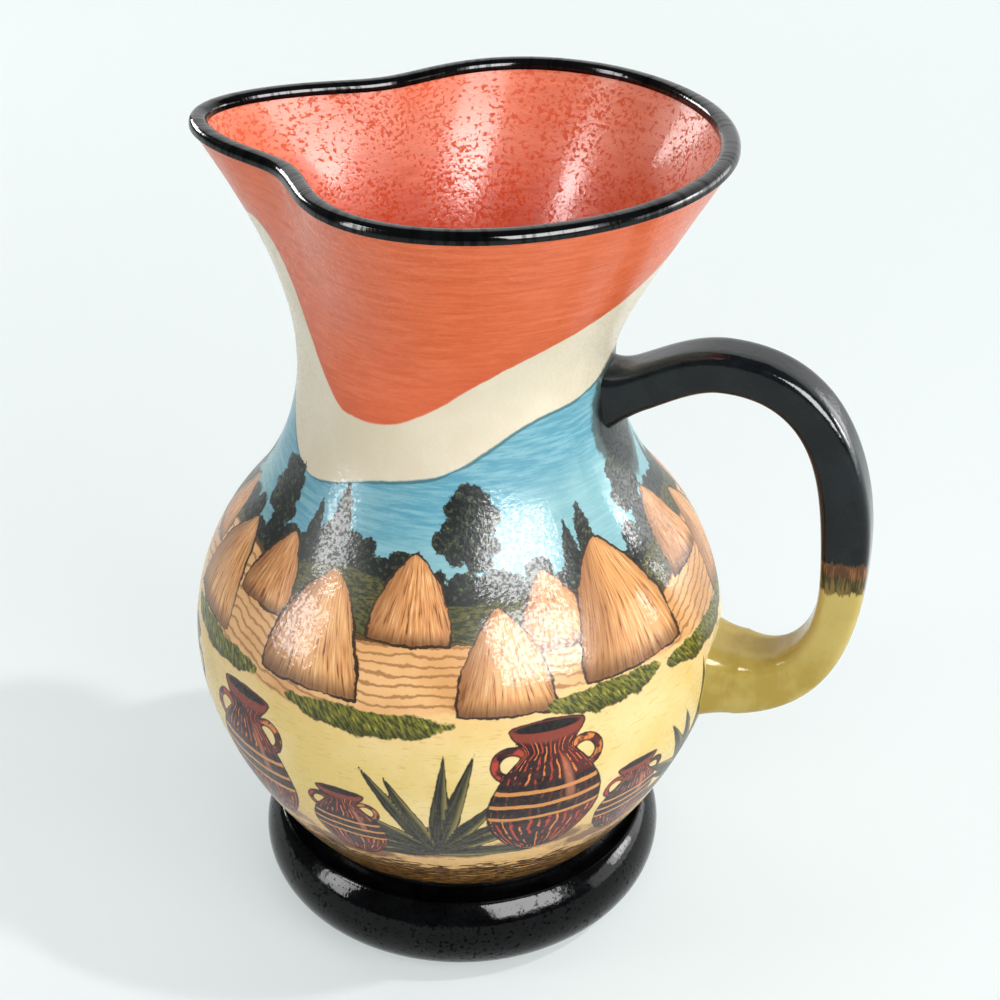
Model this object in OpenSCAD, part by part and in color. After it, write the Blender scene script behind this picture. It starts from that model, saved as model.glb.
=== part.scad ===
// Table jug of glazed earthenware: a turned foot, a round belly, a flared neck with a pulled spout,
// a coiled rim and a strap handle, joined with slip. All sizes are in millimetres.
// The jug stands on z = 0 with its axis on z. The handle points along +X and the spout along -X.

/* [Belly] */
// Greatest outer radius of the belly
belly_r = 75; // [66:0.5:86]
// Height of the belly's widest place above the table
belly_z = 87.5; // [80:0.5:98]
// Radius of the outline's arc round the widest place
belly_arc = 60; // [52:0.5:64]
// Angle below the widest place where the flatter lower arc begins
blend_angle = 17; // [8:1:26]
// Thickness of the wall
wall = 5; // [3.5:0.5:7]
// Thickness of the floor
floor_t = 7; // [5:0.5:11]

/* [Foot] */
// Radius of the foot ring's rounded outside
foot_round = 15.4; // [14:0.2:17]
// Height of the rounded outside's centre above the table
foot_mid = 15; // [13:0.2:15.4]
// Height of the seat that carries the belly
foot_h = 25.4; // [23:0.2:27]
// Radius of the belly where it meets the foot ring
seat_r = 48.4; // [44:0.2:54]
// How far the foot ring stands out past the belly there
foot_out = 11.4; // [9:0.2:14]
// Width of the seat, from the belly's edge in to the hollow
seat_w = 12.4; // [9:0.2:16]
// Radius of the cove cut round the seat
cove_r = 5; // [3.5:0.5:6]
// Distance of the cove's centre outside the seat
cove_out = 2.8; // [2:0.2:3.6]
// Depth of the cove below the seat
cove_sink = 0.3; // [0.1:0.1:0.8]

/* [Neck and spout] */
// Outer radius of the neck at its narrowest place, where the upper neck is joined on
neck_r = 42.3; // [36:0.2:50]
// Height of the narrowest place above the table
neck_z = 173; // [162:0.5:184]
// Height of the lip, under the rim bead
lip_z = 229.2; // [212:0.2:250]
// Radius of the round part of the mouth, to the middle of its lip
mouth_r = 68.7; // [62:0.2:78]
// How far each pinch beside the spout is pushed in
pinch_depth = 21.5; // [10:0.5:24]
// Angle of each pinch from the spout's middle
pinch_angle = 48.5; // [42:0.5:56]
// Angular width of a pinch
pinch_width = 32.5; // [26:0.5:36]
// How far the spout's tip is pulled out
spout_pull = 3.7; // [0:0.1:8]
// Angular width of the spout's tip
spout_width = 14.6; // [10:0.2:20]
// Thickness of the lip
lip_wall = 4; // [3:0.1:5]
// Softness of the bend from the neck into the flare
neck_soft = 0.24; // [0.12:0.01:0.4]
// Hollowness of the flare on the handle's side
flare_back = 0.96; // [0.85:0.01:1.4]
// Hollowness of the flare on the spout's side
flare_front = 1.22; // [0.9:0.01:1.6]
// Width of the rim bead
bead_w = 5; // [4.2:0.1:6.5]
// Height of the rim bead
bead_h = 2.6; // [2:0.1:4]

/* [Handle] */
// Width of the strap, across the handle
handle_w = 14.6; // [12:0.2:20]
// Thickness of the strap
handle_t = 11.2; // [9:0.2:14]
// Squareness of the strap's section, where 2 is an ellipse
handle_square = 4.4; // [2:0.1:6]
// Distance of the strap's middle outside the belly's widest place
handle_reach = 32.4; // [27:0.1:42]
// Height of the strap's outermost place above the lower root
bend_rise = 36; // [30:0.5:44]
// Depth of the upper root's middle below the neck's narrowest place
upper_drop = 8.2; // [6:0.2:14]
// Angle at which the handle rises from the neck
root_rise = 26; // [12:1:34]
// Length of the upper root, from the neck to the strap
upper_len = 9.5; // [7:0.5:13]
// Width of the upper root at the neck
upper_w = 18; // [15:0.5:22]
// Thickness of the upper root at the neck
upper_t = 17; // [13:0.5:19]
// Distance of the handle's top outside the neck
top_reach = 29.6; // [25:0.5:36]
// Height of the handle's top above the upper root's middle
top_rise = 11.4; // [9:0.2:16]
// Depth of the lower root's middle below the belly's widest place
lower_drop = 4.3; // [0:0.2:12]
// Length of the lower root, from the belly to the strap
lower_len = 7.5; // [6:0.5:12]
// Width of the lower root at the belly
lower_w = 25; // [20:0.5:30]
// Thickness of the lower root at the belly
lower_t = 23; // [18:0.5:27]
// Length over which the strap grows towards each root
root_spread = 38; // [24:1:56]
// How much the strap has grown where it meets the upper root
upper_gain = 0.8; // [0:0.2:3]
// How much the strap has grown where it meets the lower root
lower_gain = 7.6; // [2:0.2:9]
// How much thicker the strap is on its shoulder, above its outermost place
shoulder_gain = 1.8; // [0:0.2:3]

/* [Joints] */
// Thickness of the slip that holds two pieces together
slip_t = 0.8; // [0.4:0.1:1.4]

/* [Hidden] */
$fn = 144;

// Counts of the swept surfaces: points round the mouth, rows up the neck, points of the rim bead's arch,
// points of the strap's section, steps along one curve of the strap, steps along a root, rings of a root's end
mouth_points = 84;
neck_rows = 16;
bead_points = 9;
strap_points = 24;
strap_steps = 11;
root_steps = 5;
end_rings = 4;

// How far the strap's curves hold each direction, as shares of their spans: leaving the upper root,
// reaching the top, leaving the top, reaching the bend, leaving the bend, and reaching the lower root
hold_root = 0.32;
hold_top_in = 0.36;
hold_top = 0.84;
hold_bend_in = 0.47;
hold_bend = 0.71;
hold_low = 0.55;

// Length of strap from its shoulder to its outermost place
shoulder_lead = 17;
// Length of strap over which it thickens to its shoulder
shoulder_spread = 22;
// Overlap of areas that join into one
seam = 0.02;

foot_r = seat_r + foot_out;
foot_bore_r = seat_r - seat_w;
belly_base_z = foot_h + slip_t;
belly_top_z = neck_z - slip_t;
floor_z = belly_base_z + floor_t;

// The belly's outline is three arcs that run into each other: lower, middle and neck
middle_c = [belly_r - belly_arc, belly_z];
seat_point = [seat_r, belly_base_z];
blend_dir = [cos(blend_angle), -sin(blend_angle)];
seat_from_middle = seat_point - middle_c;
lower_more = (seat_from_middle * seat_from_middle - belly_arc * belly_arc)
    / (2 * (belly_arc - seat_from_middle * blend_dir));
lower_arc = belly_arc + lower_more;
lower_c = middle_c - lower_more * blend_dir;
neck_from_middle = [neck_r, neck_z] - middle_c;
neck_arc = (neck_from_middle * neck_from_middle - belly_arc * belly_arc)
    / (2 * (belly_arc - neck_from_middle.x));
neck_c = [neck_r + neck_arc, neck_z];
neck_dir = (neck_c - middle_c) / norm(neck_c - middle_c);
blend_z = belly_z - belly_arc * sin(blend_angle);
turn_z = belly_z + belly_arc * neck_dir.y;

// Outer radius of the belly at a height
function belly_r_at(z) =
    z < blend_z ? lower_c.x + sqrt(pow(lower_arc, 2) - pow(z - lower_c.y, 2)) :
    z < turn_z ? middle_c.x + sqrt(pow(belly_arc, 2) - pow(z - middle_c.y, 2)) :
    neck_c.x - sqrt(pow(neck_arc, 2) - pow(z - neck_c.y, 2));

// A smooth bump over angles or lengths, 1 high at 0
function bump(place, width) = exp(-pow(place / width, 2));

// Radius of the lip's middle at an angle from the spout, with a pinch on either side of the spout
function lip_r(a) = mouth_r + spout_pull * bump(a, spout_width)
    - pinch_depth * (bump(a - pinch_angle, pinch_width) + bump(a + pinch_angle, pinch_width));
function lip_at(a) = lip_r(a) * [-cos(a), -sin(a)];
function lip_out(a) = let (along = lip_at(a + 1) - lip_at(a - 1)) [along.y, -along.x] / norm(along);

// The flare's share of the way from the neck to the lip, at a share of the height
function bend(u) = (sqrt(u * u + neck_soft * neck_soft) - neck_soft)
    / (sqrt(1 + neck_soft * neck_soft) - neck_soft);
function flare(a, u) = pow(bend(u), flare_back + (flare_front - flare_back) * (1 + cos(a)) / 2);

// A point of the upper neck: side is 1 on the outside and -1 on the inside
function neck_point(a, u, side) = let (
        start_r = side > 0 ? neck_r : neck_r - wall,
        start = start_r * [-cos(a), -sin(a)],
        end = lip_at(a) + side * lip_wall / 2 * lip_out(a),
        place = start + (end - start) * flare(a, u))
    [place.x, place.y, neck_z + u * (lip_z - neck_z)];

function flat_list(lists) = [for (list = lists) each list];

// Triangles between rings of n points: open stacks have a lid at each end, closed ones join up
function side_faces(rings, n, closed) = [
    for (i = [0 : rings - (closed ? 1 : 2)], j = [0 : n - 1])
        let (low = i * n, high = ((i + 1) % rings) * n, next = (j + 1) % n)
            each [[low + j, low + next, high + next], [low + j, high + next, high + j]]];
function lid_faces(start, n, centre, up) = [
    for (j = [0 : n - 1])
        let (next = (j + 1) % n)
            up ? [start + j, start + next, centre] : [start + next, start + j, centre]];

// A ring-shaped solid from closed sections set round the axis
module round_sweep(sections) {
    n = len(sections[0]);
    polyhedron(points = flat_list(sections), faces = side_faces(len(sections), n, true));
}

// A rod-shaped solid from a stack of rings, with a point at the middle of each end
module rod_sweep(rings, first, last) {
    n = len(rings[0]);
    count = len(rings) * n;
    faces = concat(side_faces(len(rings), n, false), lid_faces(0, n, count, false),
        lid_faces(count - n, n, count + 1, true));
    polyhedron(points = concat(flat_list(rings), [first, last]), faces = faces);
}

// The belly's outline filled to the axis, moved in by a thickness.
// Its three areas overlap a little to join into one
module belly_area(inset) {
    top_r = middle_c.x + (belly_arc - inset) * neck_dir.x;
    low_z = middle_c.y + (belly_arc - inset) * blend_dir.y;
    high_z = middle_c.y + (belly_arc - inset) * neck_dir.y;
    intersection() {
        translate(lower_c) circle(lower_arc - inset);
        translate([0, belly_base_z]) square([belly_r, low_z - belly_base_z + seam]);
    }
    intersection() {
        translate(middle_c) circle(belly_arc - inset);
        translate([0, low_z]) square([belly_r, high_z - low_z + seam]);
    }
    difference() {
        translate([0, high_z]) square([top_r, belly_top_z - high_z]);
        translate(neck_c) circle(neck_arc + inset);
    }
}

// Heavy ring with a round outside, a flat to rest on, a hollow inside and a cove round its seat
module foot_ring() {
    color("#17181b") rotate_extrude() difference() {
        translate([foot_r - foot_round, foot_mid]) circle(foot_round);
        translate([0, -foot_round]) square([foot_r, foot_round]);
        translate([0, 0]) square([foot_bore_r, foot_mid + foot_round]);
        translate([0, foot_h]) square([seat_r + cove_out, foot_round]);
        translate([seat_r + cove_out, foot_h - cove_sink + cove_r]) circle(cove_r);
    }
}

module foot_slip() {
    color("#8a6a4c") rotate_extrude()
        translate([foot_bore_r, foot_h]) square([seat_r - foot_bore_r, slip_t]);
}

// Thrown bowl with a floor, closing in to the neck
module belly() {
    color("#e6cd92") rotate_extrude() difference() {
        belly_area(0);
        difference() {
            belly_area(wall);
            square([belly_r, floor_z]);
        }
    }
}

module neck_slip() {
    color("#8a6a4c") rotate_extrude()
        translate([neck_r - wall, belly_top_z]) square([wall, slip_t]);
}

// Flared upper neck: its round lower edge opens to a lip with two pinches and a spout
module neck() {
    ups = [for (i = [0 : neck_rows]) i / neck_rows];
    downs = [for (i = [0 : neck_rows]) 1 - i / neck_rows];
    color("#dd7660") round_sweep([
        for (i = [0 : mouth_points - 1])
            let (a = i * 360 / mouth_points - 180)
                concat([for (u = ups) neck_point(a, u, 1)], [for (u = downs) neck_point(a, u, -1)])]);
}

// Coil laid on the lip, flat below and arched above
module rim_bead() {
    color("#17181b") round_sweep([
        for (i = [0 : mouth_points - 1])
            let (a = i * 360 / mouth_points - 180, middle = lip_at(a), out = lip_out(a))
                [for (k = [0 : bead_points])
                    let (turn = k * 180 / bead_points, place = middle + out * cos(turn) * bead_w / 2)
                        [place.x, place.y, lip_z + bead_h * sin(turn)]]]);
}

function bezier(p, t) = p[0] * pow(1 - t, 3) + 3 * p[1] * t * pow(1 - t, 2)
    + 3 * p[2] * t * t * (1 - t) + p[3] * pow(t, 3);

// Places on the strap's middle line, in the handle's plane: x outwards and y up
upper_z = neck_z - upper_drop;
lower_z = belly_z - lower_drop;
upper_start = [belly_r_at(upper_z), upper_z];
upper_dir = [cos(root_rise), sin(root_rise)];
upper_wrist = upper_start + upper_len * upper_dir;
strap_top = [neck_r + top_reach, upper_z + top_rise];
strap_bend = [belly_r + handle_reach, lower_z + bend_rise];
lower_start = [belly_r_at(lower_z), lower_z];
lower_wrist = lower_start + [lower_len, 0];
top_span = strap_top.x - upper_wrist.x;
out_span = strap_bend - strap_top;
in_span = strap_bend - lower_wrist;
strap_curves = [
    [upper_wrist, upper_wrist + hold_root * top_span * upper_dir,
        strap_top - [hold_top_in * top_span, 0], strap_top],
    [strap_top, strap_top + [hold_top * out_span.x, 0],
        strap_bend - [0, hold_bend_in * out_span.y], strap_bend],
    [strap_bend, strap_bend - [0, hold_bend * in_span.y],
        lower_wrist + [hold_low * in_span.x, 0], lower_wrist]];
strap_line = concat([upper_wrist],
    [for (curve = strap_curves, i = [1 : strap_steps]) bezier(curve, i / strap_steps)]);
strap_last = len(strap_line) - 1;
strap_lengths = [for (i = 0, sum = 0; i <= strap_last;
    sum = sum + norm(strap_line[min(i + 1, strap_last)] - strap_line[i]), i = i + 1) sum];

// How far the strap has grown towards a root at a distance from it, from 0 to 1
function growth(distance) = pow(max(0, 1 - distance / root_spread), 2);
function strap_gain(i) = upper_gain * growth(strap_lengths[i])
    + lower_gain * growth(strap_lengths[strap_last] - strap_lengths[i]);
shoulder_length = strap_lengths[2 * strap_steps] - shoulder_lead;
function strap_swell(i) = shoulder_gain * bump(strap_lengths[i] - shoulder_length, shoulder_spread);
function strap_dir(i) = i == 0 ? upper_dir : i == strap_last ? [-1, 0] :
    let (along = strap_line[i + 1] - strap_line[i - 1]) along / norm(along);

// A section of the strap as offsets: thickness in the handle's plane, width across it
function rounded(c) = sign(c) * pow(abs(c), 2 / handle_square);
function strap_offsets(dir, thickness, width) = [
    for (k = [0 : strap_points - 1])
        let (turn = k * 360 / strap_points, up = thickness / 2 * rounded(cos(turn)))
            [-dir.y * up, width / 2 * rounded(sin(turn)), dir.x * up]];
function strap_ring(i) = let (
        middle = [strap_line[i].x, 0, strap_line[i].y],
        gain = strap_gain(i),
        thickness = handle_t + gain + strap_swell(i))
    [for (offset = strap_offsets(strap_dir(i), thickness, handle_w + gain)) middle + offset];

// A point moved along X on to the belly's outer face, or a little outside it
function on_belly(p, outside) = let (r = belly_r_at(p.z) + outside) [sqrt(r * r - p.y * p.y), p.y, p.z];

// Rings of a root's end face, from its edge to near its middle, laid on the belly
function end_face(start, thickness, width, outside) = [
    for (i = [0 : end_rings - 1])
        let (share = 1 - i / end_rings)
            [for (offset = strap_offsets([1, 0], thickness * share, width * share))
                on_belly([0, offset.y, start.y + offset.z], outside)]];
function end_middle(start, outside) = on_belly([0, 0, start.y], outside);
function reversed(list) = [for (i = [len(list) - 1 : -1 : 0]) list[i]];

// A root runs from its end face on the belly to the strap's nearest section, wide at the belly and drawn in
// fast. Its strap ring is given in the end face's own order of points
module root(start, thickness, width, strap_ring, strap_middle) {
    face = end_face(start, thickness, width, slip_t);
    face_middle = end_middle(start, slip_t);
    loft = [for (i = [1 : root_steps])
        let (t = i / root_steps, drawn = 1 - pow(1 - t, 2),
            middle = face_middle + (strap_middle - face_middle) * t)
            [for (k = [0 : strap_points - 1])
                middle + (face[0][k] - face_middle) * (1 - drawn) + (strap_ring[k] - strap_middle) * drawn]];
    rod_sweep(concat(reversed(face), loft), face_middle, strap_middle);
}

module root_slip(start, thickness, width) {
    rod_sweep(concat(reversed(end_face(start, thickness, width, 0)), end_face(start, thickness, width, slip_t)),
        end_middle(start, 0), end_middle(start, slip_t));
}

// Pulled strap of a soft rectangular section
module handle() {
    color("#1c2025") rod_sweep([for (i = [0 : strap_last]) strap_ring(i)],
        [upper_wrist.x, 0, upper_wrist.y], [lower_wrist.x, 0, lower_wrist.y]);
}

module upper_root() {
    color("#1c2025") root(upper_start, upper_t, upper_w, strap_ring(0), [upper_wrist.x, 0, upper_wrist.y]);
}

module upper_root_slip() {
    color("#8a6a4c") root_slip(upper_start, upper_t, upper_w);
}

// The strap arrives here from outside, so its last section is turned half round to the end face's order
module lower_root() {
    last = strap_ring(strap_last);
    turned = [for (k = [0 : strap_points - 1]) last[(3 * strap_points / 2 - k) % strap_points]];
    color("#c8b250") root(lower_start, lower_t, lower_w, turned, [lower_wrist.x, 0, lower_wrist.y]);
}

module lower_root_slip() {
    color("#8a6a4c") root_slip(lower_start, lower_t, lower_w);
}

foot_ring();
foot_slip();
belly();
neck_slip();
neck();
rim_bead();
upper_root();
upper_root_slip();
handle();
lower_root();
lower_root_slip();
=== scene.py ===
"""Looks of the painted table jug: glazed skins over its solids, hand painting, light and camera."""

from math import acos, asin, atan2, cos, pi, radians, sin, sqrt

import bpy
import numpy as np
from mathutils import Matrix, Vector


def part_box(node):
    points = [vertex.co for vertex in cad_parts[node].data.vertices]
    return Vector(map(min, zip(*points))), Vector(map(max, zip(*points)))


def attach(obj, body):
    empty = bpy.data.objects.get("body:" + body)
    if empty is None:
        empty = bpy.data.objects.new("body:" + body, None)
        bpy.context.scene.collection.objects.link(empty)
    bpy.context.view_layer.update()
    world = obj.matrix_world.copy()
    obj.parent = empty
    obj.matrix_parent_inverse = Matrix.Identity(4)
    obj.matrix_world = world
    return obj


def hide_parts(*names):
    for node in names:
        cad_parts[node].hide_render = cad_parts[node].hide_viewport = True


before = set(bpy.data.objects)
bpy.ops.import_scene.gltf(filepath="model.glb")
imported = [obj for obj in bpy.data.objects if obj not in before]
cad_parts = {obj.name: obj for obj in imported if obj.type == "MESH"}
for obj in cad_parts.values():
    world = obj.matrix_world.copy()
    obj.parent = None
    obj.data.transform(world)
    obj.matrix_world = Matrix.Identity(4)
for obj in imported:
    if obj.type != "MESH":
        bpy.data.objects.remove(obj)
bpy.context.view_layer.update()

MM = 0.001
CM_IN_M = 100.0
MM_IN_M = 1000.0


def node_box(name):
    """A solid's lowest and highest corner in millimetres."""
    low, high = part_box(name)
    return np.array(low) / MM, np.array(high) / MM


# Sizes of the jug in millimetres. Those that a solid's box shows are read from the solids in model.glb
belly_low, belly_high = node_box("belly")
neck_low, neck_high = node_box("neck")
bead_low, bead_high = node_box("rim_bead")
belly_r = belly_high[0]
belly_base_z = belly_low[2]
neck_z = neck_low[2]
lip_z = neck_high[2]
bead_h = bead_high[2] - bead_low[2]
belly_z = 87.5
belly_arc = 60
blend_angle = radians(17)
wall = 5
floor_t = 7
seat_r = 48.4
foot_round = 15.4
foot_mid = 15
foot_r = 59.8
foot_bore_r = 36
cove_r = 5
cove_out = 2.8
cove_z = 30.1
neck_r = 42.3
mouth_r = 68.7
pinch_depth = 21.5
pinch_angle = 48.5
pinch_width = 32.5
spout_pull = 3.7
spout_width = 14.6
lip_wall = 4
neck_soft = 0.24
flare_back = 0.96
flare_front = 1.22
bead_w = 5
bead_square = 2.7
bead_skirt = 0.5
handle_w = 14.6
handle_t = 11.2
handle_square = 4.4
handle_reach = 32.4
bend_rise = 36
upper_drop = 8.2
root_rise = radians(26)
upper_len = 9.5
upper_w = 18
upper_t = 17
top_reach = 29.6
top_rise = 11.4
lower_drop = 4.3
lower_len = 7.5
lower_w = 25
lower_t = 23
root_spread = 38
upper_gain = 0.8
lower_gain = 7.6
shoulder_gain = 1.8
shoulder_lead = 17
shoulder_spread = 22
hold_root = 0.32
hold_top_in = 0.36
hold_top = 0.84
hold_bend_in = 0.47
hold_bend = 0.71
hold_low = 0.55

# Fineness of the skins: points round the jug and the strap, rows up the jug and steps along the strap
columns = 640
belly_rows = 250
neck_rows = 72
inner_rows = 90
profile_points = 4000
strap_points = 56
strap_steps = 40
root_steps = 14

# The belly's outline is three arcs that run into each other
middle_c = np.array([belly_r - belly_arc, belly_z])
blend_dir = np.array([cos(blend_angle), -sin(blend_angle)])
across_x = np.array([1.0, 0.0])
up_z = np.array([0.0, 1.0])


def arc_growth(point, direction):
    """How far a point goes in a direction until it is just as far outside the middle arc."""
    away = point - middle_c
    return (away @ away - belly_arc**2) / (2 * (belly_arc - away @ direction))


lower_more = arc_growth(np.array([seat_r, belly_base_z]), blend_dir)
lower_arc = belly_arc + lower_more
lower_c = middle_c - lower_more * blend_dir
neck_arc = arc_growth(np.array([neck_r, neck_z]), across_x)
neck_c = np.array([neck_r + neck_arc, neck_z])
neck_dir = (neck_c - middle_c) / np.linalg.norm(neck_c - middle_c)


def belly_radius(z, inset=0.0):
    """Radius of the belly's outline at a height, moved in by an inset."""
    z = np.asarray(z, float)
    low_z = middle_c[1] + (belly_arc - inset) * blend_dir[1]
    high_z = middle_c[1] + (belly_arc - inset) * neck_dir[1]

    def half_chord(centre, radius):
        return np.sqrt(np.maximum(0, radius**2 - (z - centre[1]) ** 2))

    lower = lower_c[0] + half_chord(lower_c, lower_arc - inset)
    middle = middle_c[0] + half_chord(middle_c, belly_arc - inset)
    upper = neck_c[0] - half_chord(neck_c, neck_arc + inset)
    return np.where(z < low_z, lower, np.where(z < high_z, middle, upper))


def run_along(line):
    """Length along a line of points, from its start."""
    return np.concatenate([[0], np.cumsum(np.linalg.norm(np.diff(line, axis=0), axis=1))])


def even_profile(z_from, z_to, rows, inset):
    """Radius, height and length along the belly's outline, at even steps of that length."""
    z = np.linspace(z_from, z_to, profile_points)
    length = run_along(np.stack([belly_radius(z, inset), z], -1))
    even = np.linspace(0, length[-1], rows)
    z_even = np.interp(even, length, z)
    return belly_radius(z_even, inset), z_even, even


def bump_curve(angle, width):
    """A smooth bump, 1 high at angle 0, which repeats every full turn."""
    return np.exp(-((((angle + 180) % 360) - 180) / width) ** 2)


def from_spout(a):
    """Directions in plan at angles in degrees from the spout."""
    return np.stack([-np.cos(np.radians(a)), -np.sin(np.radians(a))], -1)


def lip_line(a):
    """The lip's middle in plan, at angles in degrees from the spout."""
    pinches = bump_curve(a - pinch_angle, pinch_width) + bump_curve(a + pinch_angle, pinch_width)
    r = mouth_r + spout_pull * bump_curve(a, spout_width) - pinch_depth * pinches
    return r[..., None] * from_spout(a)


def lip_outward(a):
    """The lip's outward direction in plan."""
    along = lip_line(a + 1) - lip_line(a - 1)
    out = np.stack([along[..., 1], -along[..., 0]], -1)
    return out / np.linalg.norm(out, axis=-1, keepdims=True)


def neck_points(u, a, side):
    """Points of the flared neck, as rows up it by columns round it: side is 1 outside and -1 inside."""
    hyper = (np.sqrt(u * u + neck_soft**2) - neck_soft) / (sqrt(1 + neck_soft**2) - neck_soft)
    power = flare_back + (flare_front - flare_back) * (1 + np.cos(np.radians(a))) / 2
    share = hyper[:, None] ** power
    start = (neck_r if side > 0 else neck_r - wall) * from_spout(a)
    end = lip_line(a) + side * lip_wall / 2 * lip_outward(a)
    plan = start + (end - start) * share[..., None]
    z = np.broadcast_to((neck_z + u * (lip_z - neck_z))[:, None, None], share.shape + (1,))
    return np.concatenate([plan, z], -1)


def turned_points(r, z, turn):
    """Points of a turned form, as rows of its profile by columns round it."""
    turn = np.radians(turn)
    x = np.outer(r, np.cos(turn))
    y = np.outer(r, np.sin(turn))
    return np.stack([x, y, np.broadcast_to(np.asarray(z)[:, None], x.shape)], -1)


def grid_normals(points, closed_rows=False):
    """Unit normals of a grid whose columns close on themselves."""
    up = np.roll(points, -1, 0) - np.roll(points, 1, 0) if closed_rows else np.gradient(points, axis=0)
    round_ = np.roll(points, -1, 1) - np.roll(points, 1, 1)
    n = np.cross(round_, up)
    return n / np.maximum(np.linalg.norm(n, axis=-1, keepdims=True), 1e-9)


def grid_faces(rows, cols, closed_rows=False):
    """Quads of a grid whose columns close on themselves."""
    i = np.arange(rows if closed_rows else rows - 1)[:, None]
    j = np.arange(cols)
    i_next = (i + 1) % rows
    j_next = (j + 1) % cols
    quads = np.stack([i * cols + j, i * cols + j_next, i_next * cols + j_next, i_next * cols + j], -1)
    return quads.reshape(-1, 4)


def add_object(name, data):
    """A new object in the scene."""
    made = bpy.data.objects.new(name, data)
    bpy.context.collection.objects.link(made)
    return made


def make_piece(name, points, normals, materials, stands_for, closed=False, flipped=False,
               row_material=None, caps=()):
    """A mesh piece from a grid, with its own normals.

    It has a cap at its first and its last row if caps gives their materials' numbers.
    """
    cols = points.shape[1]
    verts = points.reshape(-1, 3)
    norms = normals.reshape(-1, 3)
    faces = grid_faces(*points.shape[:2], closed)
    all_faces = [tuple(f) for f in (faces[:, ::-1] if flipped else faces).tolist()]
    material_of = [0] * len(all_faces) if row_material is None else np.repeat(row_material, cols).tolist()
    for row, which in zip((0, -1), caps):
        first = row % len(points) * cols
        centre = len(verts)
        verts = np.vstack([verts, points[row].mean(0)])
        norms = np.vstack([norms, normals[row, 0]])
        way = -1 if (row == 0) != flipped else 1
        for j in range(cols):
            pair = (first + j, first + (j + 1) % cols)
            all_faces.append((*pair[::way], centre))
            material_of.append(which)
    mesh = bpy.data.meshes.new(name)
    mesh.from_pydata((verts * MM).tolist(), [], all_faces)
    for material in materials:
        mesh.materials.append(material)
    mesh.polygons.foreach_set("material_index", np.array(material_of, np.int32))
    mesh.polygons.foreach_set("use_smooth", np.ones(len(all_faces), bool))
    mesh.update()
    mesh.normals_split_custom_set_from_vertices(norms.tolist())
    piece = add_object(name, mesh)
    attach(piece, "root")
    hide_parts(*stands_for)
    return piece


def add_fields(piece, rows, start):
    """Stores the painting's numbers for some rows of the skin on a piece's vertices, from one vertex on."""
    for name, values in fields.items():
        part = values[rows]
        count = part.shape[0] * part.shape[1]
        data = np.zeros((len(piece.data.vertices), 3), np.float32)
        data[start : start + count, : part.shape[2]] = part.reshape(count, -1)
        layer = piece.data.attributes.new(name, "FLOAT_VECTOR", "POINT")
        layer.data.foreach_set("vector", data.ravel())


def colour(red, green, blue):
    """A paint's screen colour, from 0 to 255, as the linear values that a shader takes."""
    c = np.array([red, green, blue]) / 255
    linear = np.where(c <= 0.04045, c / 12.92, ((c + 0.055) / 1.055) ** 2.4)
    return (*[float(v) for v in linear], 1.0)


# Radius in centimetres of the circle that strokes round the jug are wound on
stroke_r = 7.0


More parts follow.
